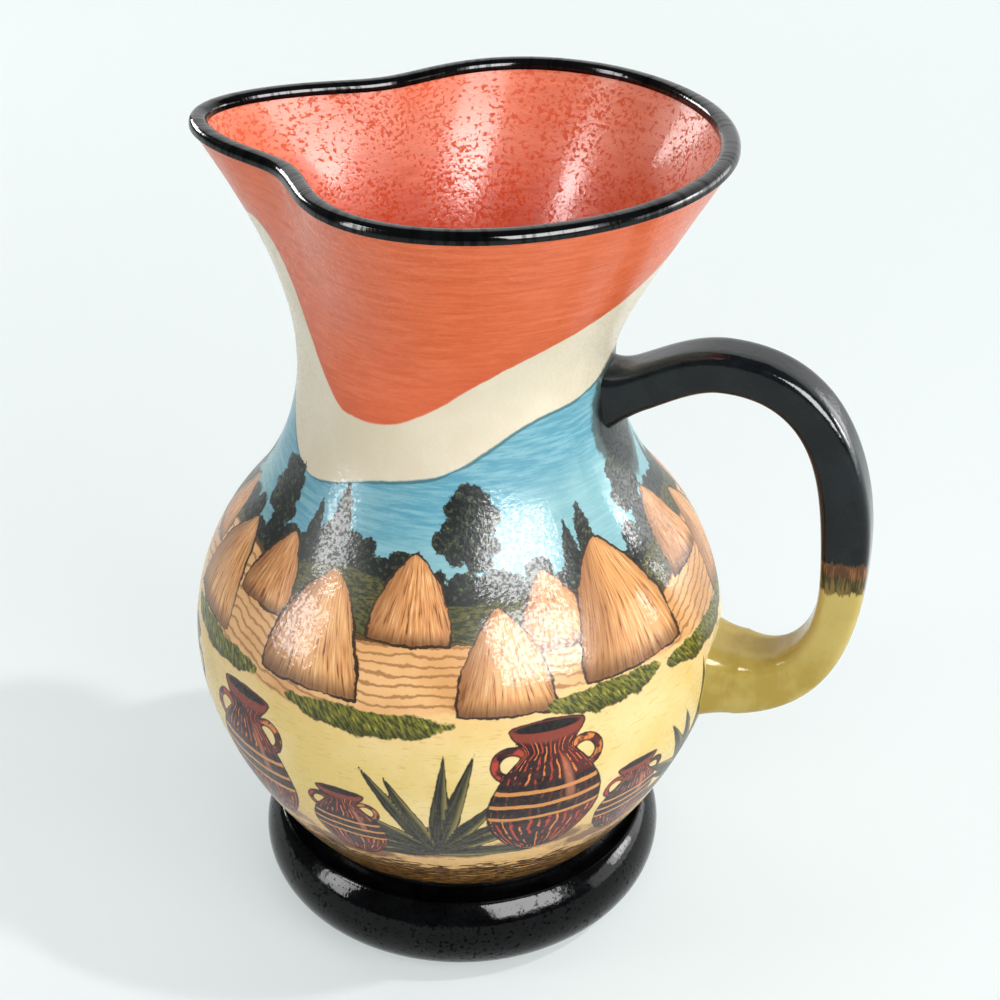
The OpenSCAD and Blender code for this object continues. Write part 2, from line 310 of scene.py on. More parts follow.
class Shader:
    """Builds one material out of nodes: place is in metres, fine in millimetres."""

    def __init__(self, name):
        self.material = bpy.data.materials.new(name)
        self.material.use_nodes = True
        self.tree = self.material.node_tree
        self.surface = self.tree.nodes["Principled BSDF"]
        self.place = self.node("TexCoord").outputs["Object"]
        self.fine = self.scale(self.place, MM_IN_M, MM_IN_M, MM_IN_M)

    def put(self, socket, value):
        """Links a socket to another, or sets its value."""
        if isinstance(value, bpy.types.NodeSocket):
            self.tree.links.new(value, socket)
        else:
            socket.default_value = value

    def node(self, kind, inputs=None, **settings):
        """A new shader node with its inputs and settings."""
        made = self.tree.nodes.new(f"ShaderNode{kind}")
        for key, value in settings.items():
            setattr(made, key, value)
        for key, value in (inputs or {}).items():
            self.put(made.inputs[key], value)
        return made

    def math(self, operation, a, b=0.0, c=0.0):
        return self.node("Math", {0: a, 1: b, 2: c}, operation=operation).outputs[0]

    def times(self, a, b, plus=0.0):
        """One number times another, plus a third."""
        return self.math("MULTIPLY_ADD", a, b, plus)

    def minus(self, a, b):
        return self.math("SUBTRACT", a, b)

    def apart(self, a, b):
        """How far apart two numbers are."""
        return self.math("ABSOLUTE", self.minus(a, b))

    def step(self, value, low, high, to_low=0.0, to_high=1.0):
        """Runs smoothly from one number to another while a value goes from low to high."""
        inputs = {"Value": value, "From Min": low, "From Max": high, "To Min": to_low, "To Max": to_high}
        return self.node("MapRange", inputs, interpolation_type="SMOOTHSTEP").outputs["Result"]

    def mix(self, share, a, b):
        """Goes from a to b by a share. A tuple is a paint's screen colour."""
        a, b = [colour(*paint) if isinstance(paint, tuple) else paint for paint in (a, b)]
        return self.node("Mix", {0: share, 6: a, 7: b}, data_type="RGBA").outputs[2]

    def tint(self, base, paint, value, low, high, most=1.0):
        """Lays a paint over a base, more and more of it while a value goes from low to high."""
        return self.mix(self.step(value, low, high, 0.0, most), base, paint)

    def vector(self, operation, a, b=(0.0, 0.0, 0.0)):
        return self.node("VectorMath", {0: a, 1: b}, operation=operation).outputs

    def scale(self, vector, x, y, z):
        return self.vector("MULTIPLY", vector, (x, y, z))[0]

    def split(self, vector):
        return self.node("SeparateXYZ", {0: vector}).outputs

    def join(self, x, y, z):
        return self.node("CombineXYZ", {0: x, 1: y, 2: z}).outputs[0]

    def field(self, name):
        """The three numbers that a piece's vertices carry under a name."""
        return self.split(self.node("Attribute", attribute_name=name).outputs["Vector"])

    def noise(self, vector, scale, detail=2.0, rough=0.5, twist=0.0):
        inputs = {"Vector": vector, "Scale": scale, "Detail": detail,
                  "Roughness": rough, "Distortion": twist}
        return self.node("TexNoise", inputs).outputs["Fac"]

    def grain(self, scale, detail=2.0, rough=0.5):
        """Noise with the same grain in all directions."""
        return self.noise(self.fine, scale, detail, rough)

    def around(self, stretch, height, level=False):
        """Coordinates for strokes round the jug, in centimetres, with the way round shortened by stretch.

        On a level floor the strokes are rings round its middle.
        """
        flat = self.scale(self.place, 1.0, 1.0, 0.0)
        if level:
            wide = CM_IN_M / stretch
            wound = self.scale(flat, wide, wide, 0.0)
            away = self.vector("LENGTH", flat)["Value"]
            lifted = self.join(0.0, 0.0, self.times(away, CM_IN_M * height))
        else:
            wide = stroke_r / stretch
            wound = self.scale(self.vector("NORMALIZE", flat)[0], wide, wide, 0.0)
            lifted = self.scale(self.place, 0.0, 0.0, CM_IN_M * height)
        return self.vector("ADD", wound, lifted)[0]

    def bump(self, height, distance, strength, normal=None):
        inputs = {"Height": height, "Distance": distance, "Strength": strength}
        if normal is not None:
            inputs["Normal"] = normal
        return self.node("Bump", inputs).outputs["Normal"]

    def finish(self, base, rough, normal, coat=0.0, coat_rough=0.06, specular=0.5):
        """Sets the surface's sockets."""
        values = {"Base Color": base, "Roughness": rough, "Normal": normal, "Coat Normal": normal,
                  "Coat Weight": coat, "Coat Roughness": coat_rough, "Specular IOR Level": specular}
        for key, value in values.items():
            self.put(self.surface.inputs[key], value)
        return self.material


# Columns run round the jug from the handle; the neck's own angle is counted from the spout
turn = np.arange(columns) * 360 / columns
mouth_turn = turn - 180
outer_r, outer_z, outer_v = even_profile(belly_base_z, neck_z, belly_rows, 0)
neck_share = np.linspace(0, 1, neck_rows)
belly_skin = turned_points(outer_r, outer_z, turn)
neck_skin = neck_points(neck_share, mouth_turn, 1)
whole_skin = np.concatenate([belly_skin, neck_skin[1:]])
whole_normals = grid_normals(whole_skin)

# Length up the skin from the foot and radius from the axis, at each point of the whole skin
steps_up = np.linalg.norm(np.diff(neck_skin, axis=0), axis=-1)
neck_v = outer_v[-1] + np.concatenate([np.zeros((1, columns)), np.cumsum(steps_up, 0)])
skin_v = np.concatenate([np.repeat(outer_v[:, None], columns, 1), neck_v[1:]])
skin_r = np.hypot(whole_skin[..., 0], whole_skin[..., 1])
skin_z = whole_skin[..., 2]

# How much of each step up the skin is a rise in height, and at least the least rise
least_rise = 0.3
skin_up = np.gradient(skin_z, axis=0) / np.maximum(np.gradient(skin_v, axis=0), 1e-6)
skin_up = np.maximum(skin_up, least_rise)


def round_from(angle):
    """Millimetres round the jug from an angle to each point of the skin."""
    return skin_r * np.radians((turn - angle + 180) % 360 - 180)


def line_distance(height_line):
    """Signed distance of each point above a line round the jug, which is a height for each column."""
    gap = (skin_z - height_line) / skin_up
    slope = np.gradient(np.concatenate([height_line[-2:], height_line, height_line[:2]]))[2:-2]
    run = skin_r * radians(360 / columns)
    return gap / np.sqrt(1 + (slope / run / skin_up) ** 2)


def swoosh(tip, repeats, rise_share):
    """A wave round the jug from -1 to 1: it rises slowly after each tip and falls fast into the next."""
    phase = ((turn - tip) % (360 / repeats)) / (360 / repeats)
    rising = -np.cos(np.pi * phase / rise_share)
    falling = np.cos(np.pi * (phase - rise_share) / (1 - rise_share))
    return np.where(phase < rise_share, rising, falling)


def ripple(*waves):
    """A sum of waves round the jug, each with an amplitude, a count and a start."""
    return sum(size * np.sin(np.radians(count * turn + start)) for size, count, start in waves)


# Edges of the painted bands and fields, as a height for each column
coral_line = 191 + 22 * swoosh(-113, 2, 0.76) + ripple((1.5, 5, 20))
cream_line = 162 + 12 * swoosh(-126, 2, 0.66) + ripple((1.2, 7, 80))
far_line = 133 + ripple((3, 3, 30), (1.6, 7, 100))
field_line = 122 + ripple((4, 2, 10), (2, 5, 60))
ground_line = 105 + ripple((4, 3, 200), (2, 4, 20))

# Trees along the skyline: the angle and size of tall crowns, and the angle and height of cypresses
clump_count = 84
crown_clumps = 26
tall_trees = [(-136, 8.5), (-69, 9.5), (-10, 8.5), (42, 9.0), (88, 7.5), (140, 9.5), (186, 8.0)]
cypresses = [(-118, 13), (-109, 17), (-40, 15), (-34, 19), (18, 14),
             (66, 17), (112, 15), (119, 19), (163, 16)]


def skyline(angle):
    """Height of the far slope's edge at an angle."""
    return np.interp(angle % 360, turn, far_line)


def nearest_edge(*gaps):
    """Distance to the nearest of several edges, from a point that is inside them all."""
    return np.minimum.reduce(gaps)


# Round clumps, as an angle, a height and a size: small ones all the way round, and many in each tall crown
clumps = []
for k in range(clump_count):
    angle = k * 360 / clump_count + 1.6 * sin(5.1 * k)
    clumps.append((angle, skyline(angle) + 1.4 * sin(2.3 * k), 3.1 + 1.5 * sin(3.7 * k)))
for angle, size in tall_trees:
    for k in range(crown_clumps):
        way = 2.4 * k + angle
        out = sqrt((k + 0.5) / crown_clumps)
        side = size * (0.78 - 0.2 * sin(way)) * out * cos(way)
        height = skyline(angle) + size * (1.35 + 0.95 * out * sin(way))
        clumps.append((angle + side, height, size * (0.27 + 0.08 * sin(3.3 * k + angle))))
tree_distance = -line_distance(far_line)
for angle, height, size in clumps:
    away = np.hypot(round_from(angle), (skin_z - height) / skin_up)
    tree_distance = np.maximum(tree_distance, size - away)
for angle, size in tall_trees:
    up = skin_z - skyline(angle)
    trunk = nearest_edge(0.09 * size - np.abs(round_from(angle)), up + 3, size - up)
    tree_distance = np.maximum(tree_distance, trunk)
for angle, height in cypresses:
    up = skin_z - skyline(angle) + 2
    share = np.clip(up / height, 0, 1)
    half = 0.17 * height * np.sin(np.pi * (0.12 + 0.88 * share) ** 0.8) ** 0.8
    cypress = nearest_edge(half - np.abs(round_from(angle)), height - up)
    tree_distance = np.maximum(tree_distance, cypress)


def choose(motifs):
    """Of several motifs, the one that each point is in or nearest to."""
    stacked = np.stack(motifs)
    best = np.argmax(stacked[..., 0], axis=0)
    return np.take_along_axis(stacked, best[None, ..., None], 0)[0]


def haystack(angle, base, half, height):
    """Distance into a haystack, its straws' own coordinate and the share of its height."""
    x = round_from(angle)
    v = skin_v - base
    share = np.clip(v / height, 0, 1)
    width = half * (1 - share**1.7) ** 0.75
    inside = nearest_edge((width - np.abs(x)) * 0.8, v + 0.06 * half * np.cos(x / half), height - v)
    straw = x / np.maximum(1.25 * height - v, 2)
    return np.stack([inside, straw * height, 0.9 * share + round(angle + 200)], -1)


def half_round(x, half):
    """Height of a half circle, 1 in the middle and 0 from half on."""
    return np.sqrt(np.clip(1 - (x / half) ** 2, 0, 1))


def clay_pot(angle, base, half, height):
    """Distance into a pot with two ears, the share of its width and the share of its height."""
    x = round_from(angle)
    v = skin_v - base
    share = np.clip(v / height, 0, 1)
    swell = 0.40 + 0.60 * np.sin(np.pi * np.clip(share / 0.84, 0, 1)) ** 0.8
    lip = np.clip((share - 0.84) / 0.16, 0, 1)
    width = half * (swell + 0.26 * lip * lip * (3 - 2 * lip))
    foot_edge = v + 0.1 * half * half_round(x, 0.4 * half)
    mouth_edge = height + 0.13 * half * half_round(x, 0.66 * half) - v
    inside = nearest_edge((width - np.abs(x)) * 0.9, foot_edge, mouth_edge)
    ear = np.abs(np.hypot((np.abs(x) - 0.62 * half), (v - 0.78 * height)) - 0.27 * half)
    inside = np.maximum(inside, 0.085 * half - ear)
    ring_share = np.clip((v + 0.14 * half * half_round(x, width)) / (height + 0.14 * half), 0, 1)
    return np.stack([inside, x / width, 0.9 * ring_share + round(angle + 200)], -1)


def pot_mouth(angle, base, half, height):
    """How far inside a pot's open mouth each point is."""
    half_up = 0.085 * half
    x = round_from(angle) / (0.54 * half)
    return half_up * (1 - np.hypot(x, (skin_v - base - height) / half_up))


def agave(angle, base, size):
    """Distance into a rosette of pointed leaves, the place along a leaf and the place across it."""
    x = round_from(angle)
    v = skin_v - base
    leaves = 13
    drawn = []
    for k in range(leaves):
        lean = radians(-86 + 172 * k / (leaves - 1) + 4 * sin(2.7 * k + angle))
        length = size * (1.0 - 0.3 * abs(lean)) * (1 + 0.1 * sin(4.1 * k + angle))
        along = x * sin(lean) + v * cos(lean)
        droop = 0.22 * sin(lean) * along * np.abs(along) / length
        side = x * cos(lean) - v * sin(lean) - droop
        share = np.clip(along / length, 0, 1)
        half = 0.062 * size * (np.sin(np.pi * (0.1 + 0.9 * share) ** 0.75)) ** 0.85
        inside = nearest_edge(half - np.abs(side), along + 0.5, length - along)
        drawn.append(np.stack([inside, share + 0.7 * k, side / np.maximum(half, 0.2)], -1))
    return choose(drawn)


def hedge(angle, base, half):
    """Distance into a low hedge, and its place along and across."""
    x = round_from(angle)
    v = skin_v - base - 0.0025 * x * x
    inside = nearest_edge(3.6 * half_round(x, half) - np.abs(v), half - np.abs(x))
    return np.stack([inside, x + 0.7 * v, v], -1)


def ground_shadow(angle, base, shift, half, half_up):
    """How far inside a flat oval shadow on the painted ground each point is."""
    return 3.0 * (1 - np.hypot((round_from(angle) + shift) / half, (skin_v - base) / half_up))


# Haystacks and pots round the jug: angle in degrees, foot along the skin, half width, height
far_stacks = [(-124, 101, 10, 21), (-84, 103, 11, 23), (-50, 100, 10, 20), (-2, 102, 11, 24),
              (34, 100, 10, 20), (78, 103, 11, 23), (124, 100, 10, 21),
              (152, 102, 11, 23), (-162, 101, 10, 20)]
near_stacks = [(-106, 87, 15, 31), (-63, 85, 13, 27), (-32, 89, 17, 35), (15, 86, 14, 29), (54, 88, 16, 33),
               (100, 86, 14, 28), (138, 89, 17, 34), (176, 86, 14, 29), (-143, 88, 14, 29)]
pots = [(-122, 33, 15, 43), (-55, 35, 16, 45), (-98, 28, 11, 29), (-33, 30, 11, 28), (22, 33, 15, 42),
        (72, 35, 16, 45), (92, 28, 11, 29), (136, 33, 15, 43), (156, 30, 11, 28), (-154, 35, 15, 41)]

# Agaves and hedges: angle, foot along the skin, and an agave's size or a hedge's half width
agaves = [(-78, 34, 42), (-10, 35, 38), (47, 34, 40), (114, 34, 40), (180, 34, 40), (-138, 29, 24)]
hedges = [(-92, 81, 24), (-40, 84, 18), (-4, 82, 26), (40, 84, 22),
          (84, 81, 24), (126, 83, 24), (168, 82, 22), (-136, 83, 22)]
mouth_field = np.max([pot_mouth(*place) for place in pots], axis=0)
shadows = [ground_shadow(angle, base + 0.5, 0.35 * half, 1.35 * half, 3.2) for angle, base, half, _ in pots]
shadows += [ground_shadow(angle, base, 0.1 * size, 0.55 * size, 3.4) for angle, base, size in agaves]

# Black and yellow glaze brushed a little past the handle's roots; the dark patch round and below the upper
# root is partly a painted shade
far_away = -99.0
upper_halo_r = 14.5
upper_halo_drop = 5.5
upper_halo_squeeze = 0.8
lower_halo_r = 13.6
root_side = np.where(whole_skin[..., 0] > 0, 0.0, far_away)
skin_y = whole_skin[..., 1]
upper_up = upper_halo_squeeze * (skin_z - neck_z + upper_drop + upper_halo_drop)
upper_halo_and_shade = root_side + upper_halo_r - np.hypot(skin_y, upper_up)
lower_halo = root_side + lower_halo_r - np.hypot(skin_y, skin_z - belly_z + lower_drop)

# Numbers that the painting's shader reads at each point of the skin: distances and places in the motifs
fields = {
    "roots": np.stack([upper_halo_and_shade, lower_halo], -1),
    "bands": np.stack([line_distance(coral_line), line_distance(cream_line), tree_distance], -1),
    "lands": -np.stack([line_distance(line) for line in (far_line, field_line, ground_line)], -1),
    "far_stacks": choose([haystack(*place) for place in far_stacks]),
    "near_stacks": choose([haystack(*place) for place in near_stacks]),
    "pots": choose([clay_pot(*place) for place in pots]),
    "agaves": choose([agave(*place) for place in agaves]),
    "hedges": choose([hedge(*place) for place in hedges]),
    "rest": np.stack([np.max(shadows, axis=0), skin_v, mouth_field], -1),
}


def painted_glaze():
    """Coral, cream and blue bands over a painted landscape, all under one clear glaze."""
    s = Shader("painted_glaze")
    wobble = s.minus(s.grain(0.16, 3, 0.6), 0.5)
    jitter = s.minus(s.grain(0.9, 1), 0.5)
    shake = s.times(wobble, 2.6, s.times(jitter, 0.5))
    sweep = s.noise(s.around(14, 1), 9, 3, 0.65)
    streak = s.noise(s.around(9, 1), 26, 2, 0.6)
    cloud = s.grain(0.03, 3, 0.6)

    def lay(under, coat, distance, soft=0.22, steady=1, most=1):
        """Paints a coat over what is under it, up to a hand-painted edge with a slight shake."""
        moved = s.times(shake, steady, distance)
        return s.mix(s.step(moved, -soft, soft, 0, most), under, coat)

    def outline(distance, half, offset=0, steady=1):
        """A thin brushed line along an edge, which thins out here and there."""
        moved = s.math("ADD", s.times(shake, steady, distance), offset)
        width = s.step(s.grain(0.08, 1), 0.35, 0.6, 0.25 * half, half)
        return s.step(s.minus(s.math("ABSOLUTE", moved), width), -0.12, 0.16, 1, 0)

    bands = s.field("bands")
    lands = s.field("lands")
    far = s.field("far_stacks")
    near = s.field("near_stacks")
    pot = s.field("pots")
    plant = s.field("agaves")
    hedge_at = s.field("hedges")
    shade, length_up, mouth = s.field("rest")

    # Sky: blue below the cream, paler towards the skyline
    sky = s.tint((88, 152, 172), (126, 178, 190), sweep, 0.35, 0.68)
    sky = s.tint(sky, (70, 138, 160), streak, 0.6, 0.75, 0.5)
    sky = s.tint(sky, (150, 192, 190), s.times(bands[1], -1), 10, 26, 0.5)
    sky = s.mix(s.times(outline(bands[1], 0.5, 0.4, 0.3), 0.8), sky, (58, 102, 108))
    cream = s.tint((214, 201, 174), (224, 213, 190), cloud, 0.35, 0.65)
    paint = lay(sky, cream, bands[1], 0.3, 0.3)
    coral = s.tint((211, 93, 48), (226, 112, 70), sweep, 0.3, 0.7)
    coral = s.tint(coral, (234, 130, 94), streak, 0.55, 0.8, 0.5)
    coral = s.tint(coral, (202, 86, 44), bands[0], 9, 0, 0.45)
    paint = lay(paint, coral, bands[0], 0.3, 0.3)

    # Skyline trees, then the far slope, the stubble fields and the pale ground in front
    leaf = s.grain(0.62, 2, 0.7)
    trees = s.tint((22, 27, 26), (58, 66, 48), leaf, 0.5, 0.66)
    trees = s.tint(trees, (112, 118, 78), leaf, 0.66, 0.74, 0.8)
    frayed = s.times(s.minus(leaf, 0.5), 2.6, bands[2])
    paint = lay(paint, trees, frayed, 0.25, 0.6)
    slope_mark = s.noise(s.around(2.6, 1.3), 13, 2, 0.6)
    slope = s.tint((46, 52, 32), (92, 88, 46), slope_mark, 0.4, 0.6)
    slope = s.tint(slope, (28, 32, 22), streak, 0.56, 0.7, 0.7)
    paint = lay(paint, slope, s.minus(lands[0], 5), 0.5)
    furrow = s.math("SINE", s.times(lands[1], 2.6, s.times(wobble, 9)))
    stubble = s.tint((214, 158, 100), (236, 186, 128), cloud, 0.36, 0.62)
    stubble = s.tint(stubble, (150, 98, 54), furrow, 0.35, 0.95, 0.75)
    paint = lay(paint, stubble, lands[1], 0.4)
    paint = s.mix(outline(lands[1], 0.5), paint, (92, 66, 36))

    def straw(layer, light, dark, rim):
        """Straws drawn from the top of a haystack, darker on its left and at its foot."""
        share = s.math("FRACT", layer[2])
        hair = s.noise(s.join(layer[1], s.times(layer[2], 2.2), 0), 1.3, 2, 0.7)
        body = s.mix(s.step(hair, 0.36, 0.62), dark, light)
        body = s.tint(body, (246, 212, 156), hair, 0.6, 0.68, 0.8)
        body = s.tint(body, (96, 60, 30), hair, 0.41, 0.34, 0.85)
        body = s.tint(body, (128, 80, 44), layer[1], 2, -11, 0.6)
        body = s.tint(body, (84, 52, 28), share, 0.16, 0, 0.7)
        return s.tint(body, (116, 70, 38), layer[0], 2.4, 0, rim)

    paint = lay(paint, straw(far, (229, 168, 108), (196, 128, 74), 0.3), far[0])
    paint = s.mix(outline(far[0], 0.34), paint, (58, 40, 24))
    speck = s.grain(0.35, 3, 0.7)
    ground = s.tint((224, 196, 118), (234, 208, 146), cloud, 0.36, 0.6)
    ground = s.tint(ground, (234, 190, 130), length_up, 70, 92, 0.8)
    brushed = s.noise(s.around(7, 1), 15, 2, 0.6)
    ground = s.tint(ground, (204, 164, 92), brushed, 0.58, 0.7, 0.5)
    ground = s.tint(ground, (170, 128, 70), speck, 0.68, 0.76, 0.4)
    ground = s.tint(ground, (222, 172, 112), length_up, 52, 26, 0.8)
    paint = lay(paint, ground, lands[2], 0.5)
    paint = lay(paint, straw(near, (236, 178, 116), (204, 136, 78), 0.4), near[0])
    paint = s.mix(outline(near[0], 0.4), paint, (54, 36, 22))

    # Hedges, hatched in olive
    hatch = s.noise(s.join(hedge_at[1], s.times(hedge_at[2], 0.35), 0), 1.1, 2, 0.6)
    green = s.tint((58, 60, 18), (118, 116, 34), hatch, 0.42, 0.56)
    green = s.tint(green, (176, 166, 74), hatch, 0.6, 0.68)
    green = s.tint(green, (36, 38, 14), hedge_at[2], 0, -3, 0.6)
    paint = lay(paint, green, hedge_at[0], 0.35, 1.8)

    # Pots and agaves in the foreground, on soft shadows
    dusk = s.tint((84, 46, 34), (128, 74, 48), streak, 0.4, 0.62)
    paint = lay(paint, dusk, shade, 0.9, 1.6, 0.85)
    leaf_line = s.noise(s.join(s.times(plant[2], 1.5), plant[1], 0), 2.4, 2, 0.6)
    blade = s.tint((30, 26, 24), (66, 62, 38), leaf_line, 0.42, 0.6)
    blade = s.tint(blade, (150, 138, 76), plant[2], 0.1, 0.8, 0.75)
    blade = s.tint(blade, (22, 16, 14), plant[0], 0.6, 0.2, 0.9)
    paint = lay(paint, blade, plant[0], 0.2, 0.45)
    pot_up = s.math("FRACT", pot[2])
    bent = s.times(wobble, 0.25, s.math("ARCSINE", s.times(pot[1], 0.95)))
    meridian = s.math("SINE", s.times(bent, 19))
    clay = s.tint((34, 15, 15), (58, 23, 20), s.grain(0.4), 0.4, 0.6)
    clay = s.tint(clay, (104, 40, 32), pot[1], -0.2, 0.75, 0.55)
    red_line = s.times(s.step(meridian, 0.72, 0.94), s.step(s.grain(0.22), 0.42, 0.52))
    clay = s.mix(red_line, clay, (176, 62, 44))
    orange_line = s.times(s.step(meridian, -0.84, -0.97), s.step(s.grain(0.3), 0.46, 0.56))
    clay = s.mix(orange_line, clay, (218, 128, 64))
    ring = s.math("SINE", s.times(wobble, 1.6, s.times(pot_up, 64)))
    band_share = s.step(s.apart(pot_up, 0.44), 0.15, 0.12)
    clay = s.mix(s.times(band_share, 0.85), clay, (30, 14, 15))
    belt = s.times(s.step(ring, 0.5, 0.85), band_share)
    clay = s.mix(belt, clay, (206, 140, 76))
    shine_across = s.step(s.apart(pot[1], 0.42), 0.13, 0.03)
    shine = s.times(shine_across, s.step(s.apart(pot_up, 0.56), 0.2, 0.08))
    clay = s.mix(s.times(shine, 0.45), clay, (214, 138, 100))
    clay = s.tint(clay, (132, 56, 40), pot_up, 0.8, 0.83)
    clay = s.tint(clay, (18, 9, 9), mouth, -0.25, 0.1)
    clay = s.tint(clay, (20, 12, 12), pot[0], 0.8, 0.2, 0.9)
    paint = lay(paint, clay, pot[0], 0.2, 0.4)

    # Straw strokes just above the foot
    tuft = s.noise(s.around(7, 1), 15, 1, 0.5, 0.25)
    drift = s.minus(s.noise(s.around(10, 0.3), 7, 2, 0.5), 0.5)
    even_lines = s.times(wobble, 5, s.times(length_up, 4.4))
    engraved = s.math("SINE", s.times(drift, 22, even_lines))
    base_straw = s.tint((28, 18, 11), (146, 98, 42), engraved, 0, 0.55)
    bright_straw = s.times(s.step(engraved, 0.6, 0.95), s.step(tuft, 0.46, 0.56))
    base_straw = s.mix(bright_straw, base_straw, (210, 158, 84))
    base_straw = s.tint(base_straw, (30, 19, 12), tuft, 0.44, 0.36, 0.8)
    ragged = s.times(s.minus(tuft, 0.5), 16, s.times(wobble, 12, length_up))
    paint = s.mix(s.step(ragged, 25.5, 24), paint, base_straw)
    paint = s.tint(paint, (12, 9, 8), s.times(wobble, 5, length_up), 9, 5)

    # Glaze brushed past the handle's roots; at the upper root the dark patch is partly a painted shade
    roots = s.field("roots")
    dab_and_shade = s.times(s.minus(leaf, 0.5), 2, roots[0])
    paint = lay(paint, (58, 64, 52), dab_and_shade, 0.9, 1.2, 0.85)
    paint = s.tint(paint, (16, 19, 20), dab_and_shade, 1, 4)
    paint = lay(paint, (196, 172, 96), roots[1], 0.6, 0.8, 0.9)

    # The clear glaze: brush marks under it, and a fine uneven skin
    gloss = s.step(s.grain(1.1, 2, 0.65), 0.42, 0.54, 0.04, 0.42)
    ripple_skin = s.noise(s.around(5, 1), 10, 2, 0.5)
    normal = s.bump(s.grain(0.6, 2, 0.6), 0.0005, s.step(cloud, 0.35, 0.65, 0.08, 0.3))
    normal = s.bump(ripple_skin, 0.0004, 0.08, normal)
    rough = s.step(s.grain(0.05), 0.35, 0.65, 0.3, 0.42)
    return s.finish(paint, rough, normal, coat=gloss, coat_rough=0.04, specular=0.2)


def inside_glaze(name, level):
    """Coral glaze of the inside, thinner towards the lip, with lost flecks of gloss, paler near the lip
    with milky patches that are partly a painted sheen, and darker deeper down as painted shade.

    Its brush marks run round the wall, or round the middle of a level floor.
    """
    s = Shader(name)
    height = s.split(s.fine)[2]
    sweep = s.noise(s.around(10, 1, level), 8, 3, 0.65)
    streak = s.noise(s.around(7, 1, level), 24, 2, 0.6, 0.4)
    body = s.tint((214, 86, 46), (232, 112, 72), sweep, 0.3, 0.7)
    body = s.tint(body, (238, 132, 98), streak, 0.56, 0.72, 0.4)
    body = s.tint(body, (196, 70, 34), streak, 0.42, 0.32, 0.35)
    patch = s.grain(0.06)
    grain = s.noise(s.around(1.8, 1, level), 10.5, 2, 0.6, 0.3)
    # Milky patches, paler higher up: partly the glaze's own milkiness and partly a painted sheen
    milky_and_sheen = s.step(s.grain(0.026, 2, 0.55), 0.42, 0.58)
    upper = s.step(height, lip_z - 32, lip_z - 5)
    pale_and_sheen_share = s.times(upper, s.times(milky_and_sheen, 0.3, 0.4))
    body = s.mix(pale_and_sheen_share, body, (236, 156, 130))
    # Darker and redder deeper down: painted shade inside the jug
    body = s.tint(body, (200, 64, 26), height, lip_z - 12, lip_z - 48, 0.75)
    pitted = s.step(patch, 0.36, 0.58)
    whole = s.step(s.times(pitted, -0.07, grain), 0.355, 0.43)
    body = s.mix(s.times(s.minus(1, whole), 0.6), body, (210, 78, 44))
    normal = s.bump(grain, 0.0006, s.times(pitted, 0.16, 0.06))
    normal = s.bump(streak, 0.0003, 0.05, normal)
    thick = s.step(height, lip_z - 36, lip_z - 4, 1, 0.25)
    deep_veil = s.step(height, lip_z - 66, lip_z - 30, 0.4, 1)
    gloss = s.times(thick, s.times(whole, 0.5, 0.01))
    veil = s.times(s.times(thick, deep_veil), s.times(whole, 0.45, 0.05))
    rough = s.step(sweep, 0.3, 0.7, 0.38, 0.48)
    return s.finish(body, rough, normal, coat=gloss, coat_rough=0.05, specular=veil)


def black_glaze(name, brushed):
    """Gloss black glaze with an orange peel, or with short brush marks across a coil."""
    s = Shader(name)
    body = s.tint((2, 2, 3), (9, 10, 11), s.grain(0.08, 3, 0.6), 0.35, 0.7)
    patch = s.grain(0.045)
    if brushed:
        marks = s.noise(s.around(0.55, 0.35), 4, 2, 0.55)
        gloss = s.step(marks, 0.38, 0.5, 0.12, 0.28)
        normal = s.bump(marks, 0.0005, s.step(patch, 0.48, 0.64, 0.03, 0.22))
    else:
        grain = s.times(s.step(patch, 0.4, 0.6), -0.08, s.grain(0.8, 2, 0.6))
        gloss = s.step(grain, 0.27, 0.4, 0.03, 0.16)
        normal = s.bump(s.grain(0.5, 2, 0.6), 0.0005, s.step(patch, 0.4, 0.6, 0.04, 0.2))
    return s.finish(body, s.step(s.grain(0.1), 0.3, 0.7, 0.07, 0.14), normal, specular=gloss)


def handle_glaze():
    """Black glaze above and olive-yellow below, with a fringe of strokes between them."""
    s = Shader("handle_glaze")
    at = s.split(s.fine)
    hair = s.noise(s.scale(s.fine, 1, 1, 0.12), 1.1, 2, 0.6)
    height = s.times(s.minus(hair, 0.5), 6.5, at[2])
    patch = s.grain(0.09, 3, 0.6)
    yellow = s.tint((168, 144, 62), (184, 162, 86), patch, 0.35, 0.65)
    yellow = s.tint(yellow, (158, 128, 58), hair, 0.55, 0.7, 0.2)
    # Paler higher up, so the yellow stays darker low down by the belly: painted shade in the handle's crook
    yellow = s.tint(yellow, (200, 180, 108), at[2], 90, 104, 0.5)
    olive = s.tint((60, 54, 26), (122, 100, 48), hair, 0.45, 0.6)
    brown = s.tint((86, 56, 30), (140, 92, 50), hair, 0.42, 0.6)
    black = s.tint((12, 16, 18), (22, 28, 31), patch, 0.35, 0.7)
    olive_z = 117.3
    brown_z = 121.6
    black_z = 126
    body = s.mix(s.step(height, olive_z, olive_z + 1), yellow, olive)
    body = s.mix(s.step(height, brown_z, brown_z + 1.8), body, brown)
    body = s.mix(s.step(height, black_z, black_z + 1), body, black)
    peel = s.grain(0.55, 2, 0.6)
    normal = s.bump(peel, 0.0005, 0.14)
    return s.finish(body, s.step(patch, 0.3, 0.7, 0.08, 0.16), normal, specular=0.28)


def bare_clay():
    """Unglazed clay under the jug."""
    s = Shader("bare_clay")
    grain = s.grain(0.9, 3, 0.7)
    body = s.tint((146, 98, 66), (178, 128, 92), grain, 0.35, 0.65)
    return s.finish(body, s.step(grain, 0.3, 0.7, 0.7, 0.85), s.bump(grain, 0.0005, 0.4), specular=0.2)


painted = painted_glaze()
inside = inside_glaze("inside_glaze", False)
inside_floor = inside_glaze("inside_floor_glaze", True)
black = black_glaze("black_glaze", False)
black_coil = black_glaze("black_coil_glaze", True)
two_tone = handle_glaze()
clay_bare = bare_clay()

